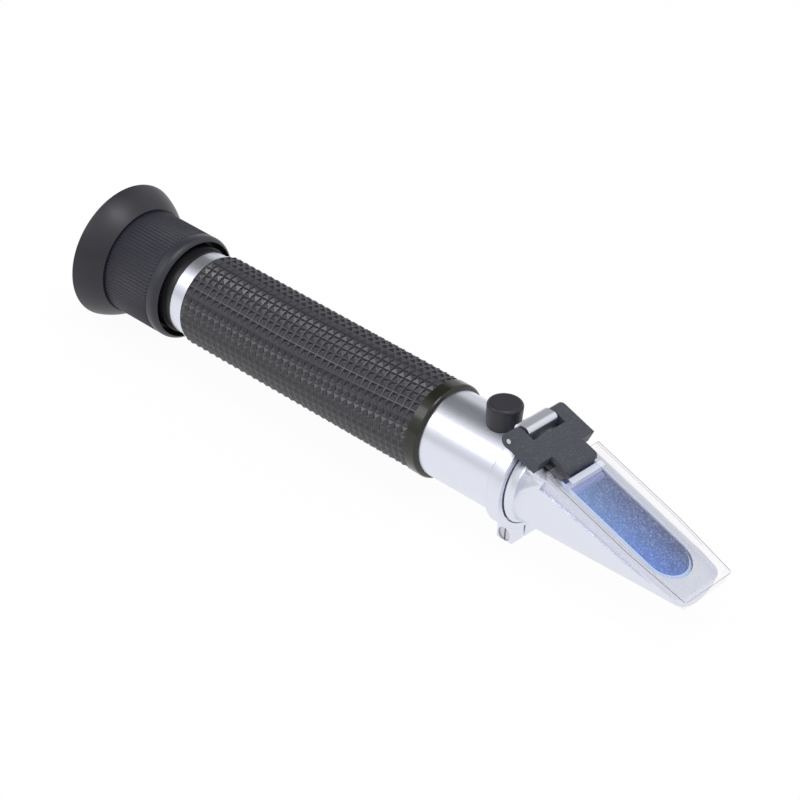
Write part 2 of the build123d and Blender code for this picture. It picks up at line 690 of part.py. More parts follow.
def prism_housing():
    """A casting: round neck and belly, flat sides, a sloping face with the prism's pocket in it."""
    neck_front = neck_back + neck_width
    blend_end = neck_front + neck_fillet_length
    belly = housing_radius(blend_end)
    along, down = neck_fillet_middle
    blend_mid = (neck_front + along * neck_fillet_length, belly + down * (neck_radius - belly))
    edges = [Line((neck_back - spigot_length, 0), (neck_back - spigot_length, insert_radius)),
             Line((neck_back - spigot_length, insert_radius), (neck_back, insert_radius)),
             Line((neck_back, insert_radius), (neck_back, neck_radius)),
             Line((neck_back, neck_radius), (neck_front, neck_radius)),
             ThreePointArc((neck_front, neck_radius), blend_mid, (blend_end, belly)),
             Line((blend_end, belly), (nose_x, housing_nose_radius)),
             Line((nose_x, housing_nose_radius), (nose_x, 0)),
             Line((nose_x, 0), (neck_back - spigot_length, 0))]
    round_body = revolve(Plane.XZ * make_face(edges), Axis.X)
    sides = [(blend_end, -belly), (nose_x, -housing_nose_radius),
             (nose_x, housing_nose_radius), (blend_end, belly)]
    upper = extrude(make_face(Polyline(*sides, close=True)), housing_back_radius - weld)
    reach = nose_x - blend_end
    shoulder = turned((blend_end, 0), (blend_end, belly),
                      (nose_x, belly + reach * math.tan(math.radians(shoulder_slope))), (nose_x, 0))
    body = round_body + (upper & shoulder)
    nose_face = body.faces().sort_by(Axis.X)[-1]
    nose_edges = nose_face.outer_wire().edges().sort_by(Axis.Z)[:-1]
    body = fillet(nose_edges, nose_round)
    body = body - above_slope(-prism_drop)
    body = body - rod(neck_back - spigot_length - overrun, prism_back, light_bore_radius)
    pocket = extrude(Pos(0, 0, -prism_floor - slip_gap) * pocket_outline(seal_width), far)
    body = body - pocket
    side_reach = 2 * plate_half_width
    rebate_inner = plate_half_width - lip_thickness - lip_gap
    outer = slope_profile(lip_outline(lip_gap, plate_top), side_reach)
    inner = slope_profile(lip_outline(2 * lip_gap, 2 * plate_top), rebate_inner)
    return body - (outer - inner)


def prism():
    body = extrude(Pos(0, 0, -prism_floor) * pocket_outline(0), far)
    body = body - above_slope(-prism_drop)
    face = body.faces().sort_by(Axis((0, 0, 0), off_slope))[-1]
    return chamfer(face.outer_wire().edges(), prism_bevel)


def prism_seal():
    """The thin ring of sealant in the gap round the prism, just under the sloping face."""
    top = -prism_drop - prism_bevel
    ring = extrude(Pos(0, 0, -prism_floor) * (pocket_outline(seal_width) - pocket_outline(0)), far)
    return ring - above_slope(top) - (ring - above_slope(top - seal_depth))


def hinge_pin():
    half = block_half_width - pin_recess
    pin = crosswise(pin_x, pin_height, -half, half, pin_radius + press_bite)
    return chamfer(pin.edges().filter_by(GeomType.CIRCLE), pin_chamfer)


def hinge_block():
    """Two ears round the pin, a crossbar in front of them and a tongue that carries the plate."""
    top = barrel_of_hinge
    bar_foot = crossbar_front - crossbar_slant
    bar = slope_profile([(0, top), (crossbar_front, top), (bar_foot, -block_under), (0, -block_under)],
                        block_half_width)
    ears = crosswise(pin_x, pin_height, -block_half_width, block_half_width, barrel_of_hinge)
    slot = slope_profile([(-far, -far), (block_slot_front, -far), (block_slot_front, far), (-far, far)],
                         block_slot_half_width)
    under = plate_top + slip_gap
    foot_front = tongue_front + tongue_slant
    tongue = slope_profile([(tongue_back, under), (tongue_back, top), (tongue_front, top),
                            (foot_front, under)], tongue_half_width)
    neck_top = (under + top) / 2
    neck = slope_profile([(tongue_back, plate_bottom), (tongue_back, neck_top), (tongue_front, neck_top),
                          (foot_front, plate_top), (foot_front, plate_bottom)], tongue_neck_half_width)
    foot_top = plate_bottom + tongue_foot_height
    foot = slope_profile([(tongue_back, plate_bottom), (tongue_back, foot_top), (tongue_front, foot_top),
                          (tongue_front, plate_bottom)], tongue_foot_half_width)
    front_edge = tongue.edges().filter_by(Axis.Y).sort_by(Axis((0, 0, 0), down_slope + off_slope))[-1]
    tongue = fillet(front_edge, tongue_round)
    pin_hole = crosswise(pin_x, pin_height, -far, far, pin_radius)
    return bar + ears - slot + neck + foot + tongue - pin_hole


def notch_outline(front, half_width):
    """Plan of a notch in the cover plate's back edge, in the tilted frame."""
    return [(0, -half_width), (front, -half_width), (front, half_width), (0, half_width)]


def cover_plate():
    """The clear plate, with a notch for the tongue, hanging lips and a finger skirt at the nose."""
    outline = [(plate_back, -plate_half_width), (plate_taper_start, -plate_half_width),
               (plate_front, -plate_nose_half_width), (plate_front, plate_nose_half_width),
               (plate_taper_start, plate_half_width), (plate_back, plate_half_width)]
    sheet = slope_slab(outline, plate_bottom, plate_top)
    upright_edges = sheet.edges().filter_by(Axis((0, 0, 0), off_slope))
    sheet = fillet(upright_edges.sort_by(Axis.X)[-2:], plate_corner_round)
    notch = slope_slab(notch_outline(notch_front, tongue_neck_half_width + slip_gap),
                       plate_bottom - overrun, plate_top + overrun)
    step = slope_slab(notch_outline(tongue_front + 2 * slip_gap, tongue_foot_half_width + 2 * slip_gap),
                      plate_bottom - overrun, plate_bottom + tongue_foot_height + slip_gap)
    lips = slope_profile(lip_outline(0, plate_middle), plate_half_width)
    between = slope_profile(lip_outline(lip_gap, plate_top), plate_half_width - lip_thickness)
    lips = (lips - between) & slope_slab(outline, -far, plate_top)
    skirt_back = plate_front - skirt_thickness
    skirt = slope_slab([(skirt_back, -skirt_half_width), (plate_front, -skirt_half_width),
                        (plate_front, skirt_half_width), (skirt_back, skirt_half_width)],
                       plate_bottom - skirt_depth, plate_middle)
    return sheet - notch - step + lips + skirt


def all_pieces():
    pieces = {
        "main_tube": main_tube(),
        "grip_sleeve": grip_sleeve(),
        "grip_end_ring": grip_end_ring(),
        "eyepiece_barrel": eyepiece_barrel(),
        "focus_ring": focus_ring(),
        "eyecup": eyecup(),
        "lens_cell": lens_cell(),
        "calibration_bush": calibration_bush(),
        "calibration_screw": calibration_screw(),
        "calibration_cap": calibration_cap(),
        "hinge_collar": hinge_collar(),
        "clamp_screw": clamp_screw(),
        "prism_housing": prism_housing(),
        "prism": prism(),
        "prism_seal": prism_seal(),
        "hinge_pin": hinge_pin(),
        "hinge_block": hinge_block(),
        "cover_plate": cover_plate(),
    }
    for group in (lens_stack(), scale_group(), light_baffles(), objective_group(), temperature_strip()):
        pieces.update(group)
    return pieces


def main():
    pieces = all_pieces()
    room = Compound(children=[Compound(piece.solids()) for piece in pieces.values()]).bounding_box()
    lay_down = Pos(-room.center().X, 0, -room.min.Z)
    os.makedirs("parts", exist_ok=True)
    for name, piece in pieces.items():
        export_step(lay_down * piece, f"parts/{name}.step")
    print("axis height", round(-room.min.Z, 3), "and drawing x = 0 at", round(-room.center().X, 3))


main()
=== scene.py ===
import json
import math
import bmesh
import bpy
from mathutils import Matrix, Vector


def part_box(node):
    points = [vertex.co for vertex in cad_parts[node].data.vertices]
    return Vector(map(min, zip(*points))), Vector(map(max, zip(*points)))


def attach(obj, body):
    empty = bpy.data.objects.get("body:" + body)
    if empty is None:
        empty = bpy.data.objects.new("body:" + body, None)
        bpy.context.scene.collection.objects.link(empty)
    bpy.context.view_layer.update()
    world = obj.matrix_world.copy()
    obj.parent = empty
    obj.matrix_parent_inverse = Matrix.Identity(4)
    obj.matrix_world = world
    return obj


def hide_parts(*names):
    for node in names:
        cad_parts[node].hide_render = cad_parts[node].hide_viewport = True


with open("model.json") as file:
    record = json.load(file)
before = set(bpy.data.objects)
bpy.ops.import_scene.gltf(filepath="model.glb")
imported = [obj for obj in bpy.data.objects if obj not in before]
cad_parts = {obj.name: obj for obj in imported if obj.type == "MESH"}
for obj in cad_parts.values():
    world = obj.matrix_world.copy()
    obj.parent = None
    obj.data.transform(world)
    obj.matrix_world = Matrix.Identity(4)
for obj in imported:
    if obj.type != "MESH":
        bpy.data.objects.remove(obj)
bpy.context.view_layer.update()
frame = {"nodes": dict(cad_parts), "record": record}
NODE_BODY = {node: body for body, nodes in frame["record"]["behaviour"]["bodies"].items() for node in nodes}
NODE_SLOT = {part["node"]: part["material_slot"] for part in frame["record"]["subparts"]}

# Sizes are in millimetres, drawn with x = 0 at the grip's back edge and the optical axis at y = z = 0,
# and put in place by the corner and the axis that the frame gives.
MM = 0.001
TUBE_LOW, TUBE_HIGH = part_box("main_tube")
ORIGIN = Vector((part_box("grip_sleeve")[0].x, 0, (TUBE_LOW.z + TUBE_HIGH.z) / 2))
SMOOTH_ANGLE = math.radians(32)

# Camera
CAMERA_PLACE = Vector((475.66, -482.28, 416.46))
CAMERA_LOOK = Vector((-0.53627, 0.63977, -0.55055))
CAMERA_UP = Vector((-0.41295, 0.37001, 0.83221))
CAMERA_LENS = 126.33
CAMERA_SENSOR = 36.0
CAMERA_NEAR, CAMERA_FAR = 0.05, 20       # metres

# Surroundings, with tones from black at 0 to white at 1
TENT_LOW_TONE = 0.62
TENT_HIGH_TONE = 0.92
TENT_CHANGE = (0.0, 0.45)                # from the low tone to the high one, as the Z of a direction
OPENING_TONE = 0.17
OPENING_MIDDLE = Vector((-0.536, 0.35, 0.77))
OPENING_EDGE = (0.78, 0.98)              # cosines of the angle off its middle
FLOOR_TONE = 0.9
FLOOR_WHITE = 0.96                       # how much of the seen floor is plain white, without the shadow
FLOOR_HALF = 3.0                         # metres
LAMP_TARGET = (70, 0, 0)

# Cover and prism, in the tilted frame of the hinge: u down the slope, v across and w off the slope
TILT = math.radians(18.5)
DOWN_SLOPE = Vector((math.cos(TILT), 0, -math.sin(TILT)))
OFF_SLOPE = Vector((math.sin(TILT), 0, math.cos(TILT)))
PIN_PLACE = Vector((117.45, 0, 16.35))
PLATE_BACK = 12.9
PLATE_FRONT = 62.0
PLATE_HALF = 10.9
PLATE_TAPER_START = 42.5
PLATE_NOSE_HALF = 9.6
NOTCH_FRONT = 17.6
LIP_WIDTH = 0.9
LIP_END = 51.5
PRISM_TOP = -1.66
EDGE_SLANT = (PLATE_HALF - PLATE_NOSE_HALF) / (PLATE_FRONT - PLATE_TAPER_START)

# Soft steps on the cover and the prism, each from where it starts to where it ends
FROST_SIDE = (1.9, 2.4)                  # in from the plate's side
FROST_BACK = (20.2, 21.5)                # u
FROST_FRONT = (59.6, 60.2)               # u
PLATE_UNDERSIDE = (-1.48, -1.40)         # w
PLATE_TOP = (0.45, 0.6)                  # w
OUTER_LINE_INSET = 0.05
OUTER_LINE = (0.08, 0.26)                # for the painted shade lines, off the line's middle, as in the next two
INNER_LINE = (0.05, 0.2)
END_LINE = (0.08, 0.2)
LIP_FADE = 0.2
FRONT_BAND = (1.4, 1.8)                  # painted light band, in from the plate's front edge
NOTCH_FADE = 0.1
NOTCH_BAND_FRONT = (19.2, 19.5)          # u, of the painted light band at the notch
NOTCH_BAND_SIDE = (6.3, 6.8)             # v, of the painted light band at the notch
BARE_STRIP_END = (17.8, 18.2)            # u
LIT_BAND_END = (19.6, 22.0)             # u, where the painted light band at the window's back ends
WINDOW_LENGTH = (20, 54)                 # u, over which the window's painted shade deepens towards the front
BEVEL_EDGE = (0.02, 0.06)                # off the prism's top face

# How much of what lies behind it each part of the cover hides
CLEAR_HIDES = 0.035
EDGE_HIDES = 0.07
FROST_HIDES = 0.01
SPECK_HIDES = 0.11
LINE_HIDES = 0.65
INNER_LINE_SHARE = 0.7
NOTCH_HIDES = 0.5
MOST_HIDDEN = 0.85

# Clouds, grain and specks, as how many there are to the millimetre
METAL_CLOUDS = 0.12
BLACK_CLOUDS = 0.15
PRISM_CLOUDS = 0.25
GLASS_CLOUDS = 0.3
HINGE_GRAIN = 5.0
COVER_SPECKS = 3.0
PRISM_SPECKS = 3.6
HINGE_SPECKS = 7.0
SPECK_TAIL = (0.7, 1.0)                  # the values of the specks that show
# the values of the specks painted lighter on the hinge, as painted glints
GLINT_SPECK_TAIL = (0.9, 1.0)

# How far they change a tone or a roughness
METAL_DARKEST = 0.94
BLACK_TONES = (0.8, 1.2)
METAL_ROUGHER = (0.08, 0.1)              # clouds, then grain
BLACK_ROUGHER = (0.1, 0.08)
ROUGHER_MIDDLE = 0.09                    # what the two add on average
SPECK_SHARE = 0.55
LIT_BAND_SHARE = 0.75
# How far clouds move the prism's painted shade, its middle, and its change across
CLOUD_SHARE = 0.5
SHADE_MIDDLE = 0.45
SHADE_ACROSS = 0.1                       # to the millimetre across, for the prism's painted shade

# Grip
GRIP_ROWS = 35
GRIP_COLUMNS = 34
LAND_SHARE = 0.06        # half of a land's width, as a share of a pyramid's pitch
TOP_SHARE = 0.05         # half of a pyramid's blunt top
PEAK_DROP = 0.02         # under the solid's own peaks
GRIP_BORE = 12.55
GRIP_ROOT = 13.05
GRIP_TWIST = math.radians(11)
GRIP_TWIST_POWER = 1.5
GRIP_STRAIGHT = 34.0     # length over which the rows run straight
GRIP_SOFTENING = 0.06
GRIP_EDGE_ANGLE = math.radians(12)

# Edges of cast and moulded pieces, by how far they are rounded
SOFT_EDGES = {"hinge_collar": 0.25, "hinge_block": 0.18, "prism_housing": 0.2}
CAST_EDGE_ANGLE = math.radians(25)
EDGE_STEPS = 3
FLAT_ANGLE = math.radians(0.5)

# Meshes
JOIN_REACH = 1e-6        # metres, for the frame's meshes
MEET_REACH = 1e-7        # metres, for the drawn ones
EMPTY_REACH = 1e-8       # metres
CORNER_STEPS = 5
CORNER_ROOM = 0.49       # how much of a side a corner may take

# Focusing ring
RIB_COUNT = 90
RIB_STEPS = 8            # points round each rib
RIB_DEPTH = 0.42
RIB_STEEPNESS = 4
RIBS_START = 0.2         # ahead of the ring's back edge
RIBS_END = 16.9
RIB_FADE = 0.25          # length over which the ribs rise
RIB_RAMP = 0.3           # between the outline's points at the ribs' ends
RIB_PLAY = 0.01
RING_SHOULDER = 0.12     # under the solid's radius, as in the next line
RING_SKIN = 0.02
RING_LIP_REACH = 2.4
RING_LIP_MIDDLE = (0.7, 0.36)    # behind the front edge, and under the solid's radius
RING_LIP_CREST = 14.55
RING_LIP_STEPS = 10
RING_MOUTH = 13.9
RING_MOUTH_ROUND = 0.15
RING_MOUTH_DEPTH = 3.1
RING_BORE = 13.06
RING_DISH = 1.6
RING_SHARP_ANGLE = math.radians(50)

# Eyecup
CUP_BASE = 16.0
CUP_MIDDLE = 18.75
CUP_WALL_MIDDLE = 2.6
CUP_RIM_WALL = 1.1
CUP_RIM_ROUND = 0.3
CUP_THROAT = 9.6
CUP_THROAT_SETBACK = 0.4     # behind the focusing ring's back edge
CUP_PLUG = 12.95
CUP_TURN_STEPS = 180
CUP_SIDE_STEPS = 20
CUP_RIM_STEPS = 6
CUP_SHARP_ANGLE = math.radians(40)


def place(x, y, z):
    return ORIGIN + Vector((x, y, z)) * MM


def drawn_box(node):
    """The lowest and highest corner of a node, in the drawing's millimetres."""
    low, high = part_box(node)
    return (low - ORIGIN) / MM, (high - ORIGIN) / MM


# Node trees

class Wire:
    """An output socket on which sums can be written."""

    def __init__(self, paint, socket):
        self.paint = paint
        self.socket = socket

    def __add__(self, other):
        return self.paint.sum("ADD", self, other)

    def __sub__(self, other):
        return self.paint.sum("SUBTRACT", self, other)

    def __rsub__(self, other):
        return self.paint.sum("SUBTRACT", other, self)

    def __mul__(self, other):
        return self.paint.sum("MULTIPLY", self, other)

    __radd__ = __add__
    __rmul__ = __mul__

    def least(self, other):
        return self.paint.sum("MINIMUM", self, other)

    def most(self, other):
        return self.paint.sum("MAXIMUM", self, other)

    def size(self):
        return self.paint.sum("ABSOLUTE", self)

    def rise(self, low, high):
        """0 below low and 1 above high, with a soft step between them."""
        return self.paint.node("ShaderNodeMapRange", {"interpolation_type": "SMOOTHSTEP"},
                               {"Value": self, "From Min": low, "From Max": high})


class Paint:
    """A node tree, in which one method makes every node."""

    def __init__(self, tree):
        self.tree = tree
        self.tree.nodes.clear()

    def node(self, kind, settings=None, sockets=None, output=0):
        made = self.tree.nodes.new(kind)
        for name, value in (settings or {}).items():
            setattr(made, name, value)
        for key, value in (sockets or {}).items():
            if isinstance(value, Wire):
                self.tree.links.new(value.socket, made.inputs[key])
            else:
                made.inputs[key].default_value = value
        return Wire(self, made.outputs[output]) if made.outputs else made

    def sum(self, operation, *values):
        return self.node("ShaderNodeMath", {"operation": operation}, dict(enumerate(values)))

    def vector(self, operation, *values):
        return self.node("ShaderNodeVectorMath", {"operation": operation}, dict(enumerate(values)))

    def dot(self, first, second):
        return self.node("ShaderNodeVectorMath", {"operation": "DOT_PRODUCT"},
                         {0: first, 1: tuple(second)}, "Value")

    def mix(self, share, first, second):
        """A colour between two colours."""
        return self.node("ShaderNodeMix", {"data_type": "RGBA"}, {0: share, 6: first, 7: second}, 2)

    def drawn_place(self):
        """The point on the piece, in the drawing's millimetres."""
        point = self.node("ShaderNodeTexCoord", output="Object")
        return self.vector("MULTIPLY", self.vector("SUBTRACT", point, tuple(ORIGIN)), (1 / MM,) * 3)

    def slope_place(self):
        """The point as u, v and w in the tilted frame of the hinge, in millimetres."""
        point = self.vector("SUBTRACT", self.drawn_place(), tuple(PIN_PLACE))
        return self.dot(point, DOWN_SLOPE), self.axis(point, "Y"), self.dot(point, OFF_SLOPE)

    def axis(self, point, name):
        return self.node("ShaderNodeSeparateXYZ", sockets={0: point}, output=name)

    def noise(self, point, scale, detail, stretch=(1, 1, 1)):
        """Soft noise about 0.5, with scale humps to the millimetre."""
        spot = self.vector("MULTIPLY", point, stretch)
        return self.node("ShaderNodeTexNoise", None, {"Vector": spot, "Scale": scale, "Detail": detail})

    def specks(self, point, scale):
        """A random value for each of many small cells."""
        cells = self.node("ShaderNodeTexVoronoi", None, {"Vector": point, "Scale": scale}, "Color")
        return self.axis(cells, "X")

    def bump(self, height, depth):
        """A normal from a height between 0 and 1 that stands for a depth in millimetres."""
        return self.node("ShaderNodeBump", None, {"Height": height, "Distance": depth * MM, "Strength": 1.0})

    def shader(self, sockets):
        return self.node("ShaderNodeBsdfPrincipled", None, sockets)

    def finish(self, shader):
        self.node("ShaderNodeOutputMaterial", None, {"Surface": shader})


def new_paint(name):
    material = bpy.data.materials.new(name)
    material.use_nodes = True
    return material, Paint(material.node_tree)


def grey(value):
    return (value, value, value, 1)


def tinted(colour, share):
    return tuple(share * value for value in colour) + (1,)


def srgb(red, green, blue):
    """A colour as it looks on a screen, from 0 to 255, turned into the light that it stands for."""
    def light(value):
        share = value / 255
        return share / 12.92 if share <= 0.04045 else ((share + 0.055) / 1.055)**2.4
    return (light(red), light(green), light(blue), 1)


# Finishes

def metal_finish(name, colour, roughness, grain_scale, grain_depth, stretch=(1, 1, 1)):
    """Bare metal: a little uneven in tone and gloss, with a grain that may run one way."""
    material, paint = new_paint(name)
    point = paint.drawn_place()
    grain = paint.noise(point, grain_scale, 3, stretch)
    cloud = paint.noise(point, METAL_CLOUDS, 2)
    tone = paint.mix(grain, tinted(colour, METAL_DARKEST), tinted(colour, 1))
    paint.finish(paint.shader({
        "Base Color": tone, "Metallic": 1.0,
        "Roughness": cloud * METAL_ROUGHER[0] + grain * METAL_ROUGHER[1] + (roughness - ROUGHER_MIDDLE),
        "Normal": paint.bump(grain, grain_depth)}))
    return material


def black_finish(name, colour, roughness, grain_scale, grain_depth, shine=0.3):
    """Rubber and plastic: a little uneven in tone and gloss, with a fine grain."""
    material, paint = new_paint(name)
    point = paint.drawn_place()
    grain = paint.noise(point, grain_scale, 3)
    cloud = paint.noise(point, BLACK_CLOUDS, 3)
    tone = paint.mix(cloud, tinted(colour, BLACK_TONES[0]), tinted(colour, BLACK_TONES[1]))
    paint.finish(paint.shader({
        "Base Color": tone, "Specular IOR Level": shine,
        "Roughness": cloud * BLACK_ROUGHER[0] + grain * BLACK_ROUGHER[1] + (roughness - ROUGHER_MIDDLE),
        "Normal": paint.bump(grain, grain_depth)}))
    return material


def hinge_finish():
    """Moulded plastic with the grain of a spark-eroded mould, whose brightest specks are painted lighter as
    glints.
    """
    material, paint = new_paint("hinge_plastic")
    point = paint.drawn_place()
    grain = paint.noise(point, HINGE_GRAIN, 4)
    painted_glint = paint.specks(point, HINGE_SPECKS).rise(*GLINT_SPECK_TAIL)
    # The lighter colour of the brightest specks is a painted glint.
    paint.finish(paint.shader({
        "Base Color": paint.mix(painted_glint, (0.052, 0.055, 0.072, 1), (0.14, 0.14, 0.17, 1)),
        "Roughness": 0.5 - painted_glint * 0.2, "Specular IOR Level": 0.35, "Normal": paint.bump(grain, 0.02)}))
    return material


def glass_finish(name, colour, alpha):
    """Thin tinted glass, with a faint haze."""
    material, paint = new_paint(name)
    point = paint.drawn_place()
    haze = paint.noise(point, GLASS_CLOUDS, 3)
    paint.finish(paint.shader({
        "Base Color": tinted(colour, 1), "Roughness": haze * 0.06 + 0.02, "Alpha": haze * 0.1 + alpha,
        "Specular IOR Level": 0.8}))
    return material


def prism_finish():
    """Blue glass: a deep bare strip at the back, a frosted window and a pale bevel round it. Over the window
    are painted shade, deeper to the far side and to the front, light specks painted as glints and a band of
    painted light at its back.
    """
    material, paint = new_paint("prism_glass")
    point = paint.drawn_place()
    u, v, w = paint.slope_place()
    cloud = paint.noise(point, PRISM_CLOUDS, 3)
    # Painted shade: lighter blues on the near side and at the back, darker ones on the far side and at the
    # front.
    across = (v * SHADE_ACROSS + SHADE_MIDDLE + (cloud - 0.5) * CLOUD_SHARE).most(0).least(1)
    along = u.rise(*WINDOW_LENGTH)
    near = paint.mix(along, srgb(80, 120, 178), srgb(46, 104, 198))
    far = paint.mix(along, srgb(54, 68, 122), srgb(22, 44, 106))
    window = paint.mix(across, near, far)
    # Specks of the frost's grain: the dark ones are grain, the light ones are painted glints.
    speck = paint.specks(point, PRISM_SPECKS)
    window = paint.mix(speck.rise(*SPECK_TAIL) * SPECK_SHARE, window, srgb(150, 185, 235))
    window = paint.mix((1 - speck).rise(*SPECK_TAIL) * SPECK_SHARE, window, srgb(45, 60, 110))
    # A band of painted light, pale lilac, at the window's back by the notch.
    painted_light_band = (1 - u.rise(*LIT_BAND_END)) * LIT_BAND_SHARE
    window = paint.mix(painted_light_band, window, srgb(158, 160, 212))
    window = paint.mix(1 - u.rise(*BARE_STRIP_END), window, srgb(30, 44, 122))
    top_face = 1 - (w - PRISM_TOP).size().rise(*BEVEL_EDGE)
    paint.finish(paint.shader({
        "Base Color": paint.mix(top_face, srgb(196, 214, 246), window), "Roughness": 0.3 - speck * 0.1,
        "Specular IOR Level": 0.4}))
    return material


def cover_finish():
    """Clear acrylic with a frosted middle. The light its cut edges gather and the shade along them are
    painted: dark lines on the edges, lilac bands along the lips and the front, and a white band at the
    notch.
    """
    material, paint = new_paint("clear_acrylic")
    point = paint.drawn_place()
    u, v, w = paint.slope_place()
    inset = PLATE_HALF - (u - PLATE_TAPER_START).most(0) * EDGE_SLANT - v.size()
    frosted_face = inset.rise(*FROST_SIDE) * u.rise(*FROST_BACK) * (1 - u.rise(*FROST_FRONT))
    frost = frosted_face * (1 - w.rise(*PLATE_UNDERSIDE))
    speck = paint.specks(point, COVER_SPECKS)
    # Painted shade: dark lines along the cut edges and the lip's lower edge, on the top face.
    outer_line = 1 - (inset - OUTER_LINE_INSET).size().rise(*OUTER_LINE)
    inner_line = 1 - (inset - LIP_WIDTH).size().rise(*INNER_LINE)
    inner_line = inner_line * (1 - u.rise(LIP_END, LIP_END + LIP_FADE)) * INNER_LINE_SHARE
    end_line = 1 - (PLATE_FRONT - u).size().rise(*END_LINE)
    back_line = 1 - (u - PLATE_BACK).size().rise(*END_LINE)
    edge_shade_lines = outer_line.most(inner_line).most(end_line).most(back_line) * w.rise(*PLATE_TOP)
    # Painted light: a white band at the notch's cut face, and lilac bands along the lips and the front end.
    notch_length = (1 - u.rise(*NOTCH_BAND_FRONT)) * u.rise(NOTCH_FRONT - NOTCH_FADE, NOTCH_FRONT)
    lit_notch_band = notch_length * (1 - v.size().rise(*NOTCH_BAND_SIDE))
    lit_side_band = 1 - inset.rise(LIP_WIDTH, LIP_WIDTH + LIP_FADE)
    lit_edge_band = lit_side_band.most(1 - (PLATE_FRONT - u).rise(*FRONT_BAND))
    clear = paint.mix(lit_edge_band, srgb(250, 252, 255), srgb(214, 210, 232))
    tone = paint.mix(edge_shade_lines, clear, srgb(112, 112, 126))
    tone = paint.mix(frost, tone, paint.mix(speck, srgb(176, 182, 200), srgb(236, 240, 250)))
    tone = paint.mix(lit_notch_band, tone, srgb(236, 244, 255))
    hides = CLEAR_HIDES + lit_edge_band * EDGE_HIDES + frost * (FROST_HIDES + speck * SPECK_HIDES)
    hides = hides + edge_shade_lines * LINE_HIDES + lit_notch_band * NOTCH_HIDES
    paint.finish(paint.shader({
        "Base Color": tone, "Roughness": frost * 0.35 + 0.06, "Alpha": hides.least(MOST_HIDDEN),
        "Specular IOR Level": 0.5}))
    return material


def make_finishes():
    """The material of each slot. After a colour come the roughness, then the grain's scale and depth."""
    return {
        "silver_tube": metal_finish("silver_tube", (0.795, 0.818, 0.91), 0.30, 6.0, 0.004, (0.1, 1, 1)),
        "silver_casting": metal_finish("silver_casting", (0.795, 0.818, 0.905), 0.34, 4.0, 0.006),
        "black_rubber": black_finish("black_rubber", (0.012, 0.012, 0.020), 0.42, 4.0, 0.004, 0.5),
        "grip_rubber": black_finish("grip_rubber", (0.014, 0.014, 0.022), 0.26, 5.0, 0.004, 0.75),
        "ring_plastic": black_finish("ring_plastic", (0.018, 0.018, 0.030), 0.42, 6.0, 0.004, 0.5),
        "hinge_plastic": hinge_finish(),
        "gloss_black": black_finish("gloss_black", (0.012, 0.012, 0.008), 0.18, 2.0, 0.002, 0.5),
        "black_anodised": black_finish("black_anodised", (0.010, 0.010, 0.012), 0.35, 3.0, 0.003, 0.5),
        "lens_glass": glass_finish("lens_glass", (0.55, 0.60, 0.80), 0.25),
        "prism_glass": prism_finish(),
        "clear_acrylic": cover_finish(),
        "steel": metal_finish("steel", (0.62, 0.62, 0.65), 0.25, 8.0, 0.003),
        "brass": metal_finish("brass", (0.75, 0.58, 0.28), 0.25, 8.0, 0.003),
        "sealant": black_finish("sealant", (0.10, 0.10, 0.11), 0.6, 4.0, 0.01),
    }


# Mesh pieces

def finish_piece(name, mesh, node, sharp=SMOOTH_ANGLE):
    """Puts a mesh in the scene in place of a node, with that node's body and material slot."""
    mesh.validate()
    mesh.shade_smooth()
    mesh.set_sharp_from_angle(angle=sharp)
    piece = bpy.data.objects.new(name, mesh)
    bpy.context.scene.collection.objects.link(piece)
    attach(piece, NODE_BODY[node])
    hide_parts(node)
    mesh.materials.clear()
    mesh.materials.append(finishes[NODE_SLOT[node]])
    return piece


def softened(node, width):
    """A copy of a node's shape whose sharp edges are rounded a little."""
    shape = bmesh.new()
    shape.from_mesh(frame["nodes"][node].data)
    shape.transform(frame["nodes"][node].matrix_world)
    bmesh.ops.remove_doubles(shape, verts=shape.verts, dist=JOIN_REACH)
    bmesh.ops.dissolve_limit(shape, angle_limit=FLAT_ANGLE, verts=shape.verts, edges=shape.edges)
    name = node + "_soft"
    mesh = bpy.data.meshes.new(name)
    shape.to_mesh(mesh)
    shape.free()
    round_edges(finish_piece(name, mesh, node), width, CAST_EDGE_ANGLE)


def round_edges(piece, width, angle):
    soften = piece.modifiers.new("soft_edges", "BEVEL")
    soften.width = width * MM
    soften.segments = EDGE_STEPS
    soften.limit_method = "ANGLE"
    soften.angle_limit = angle
    soften.harden_normals = True


def mesh_of(name, points, faces):
    mesh = bpy.data.meshes.new(name)
    mesh.from_pydata(points, [], faces)
    return mesh


def rounded(outline):
    """An outline of (x, radius, corner radius) points as (x, radius) points, with its corners rounded."""
    points = []
    count = len(outline)
    for index, (x, radius, corner) in enumerate(outline):
        here = Vector((x, radius))
        if corner == 0:
            points.append(here)
            continue
        before = Vector(outline[index - 1][:2]) - here
        after = Vector(outline[(index + 1) % count][:2]) - here
        half = before.angle(after) / 2
        reach = min(corner / math.tan(half), CORNER_ROOM * before.length, CORNER_ROOM * after.length)
        start = here + before.normalized() * reach
        end = here + after.normalized() * reach
        for step in range(CORNER_STEPS + 1):
            share = step / CORNER_STEPS
            points.append(start * (1 - share)**2 + here * 2 * share * (1 - share) + end * share**2)
    return [tuple(point) for point in points]


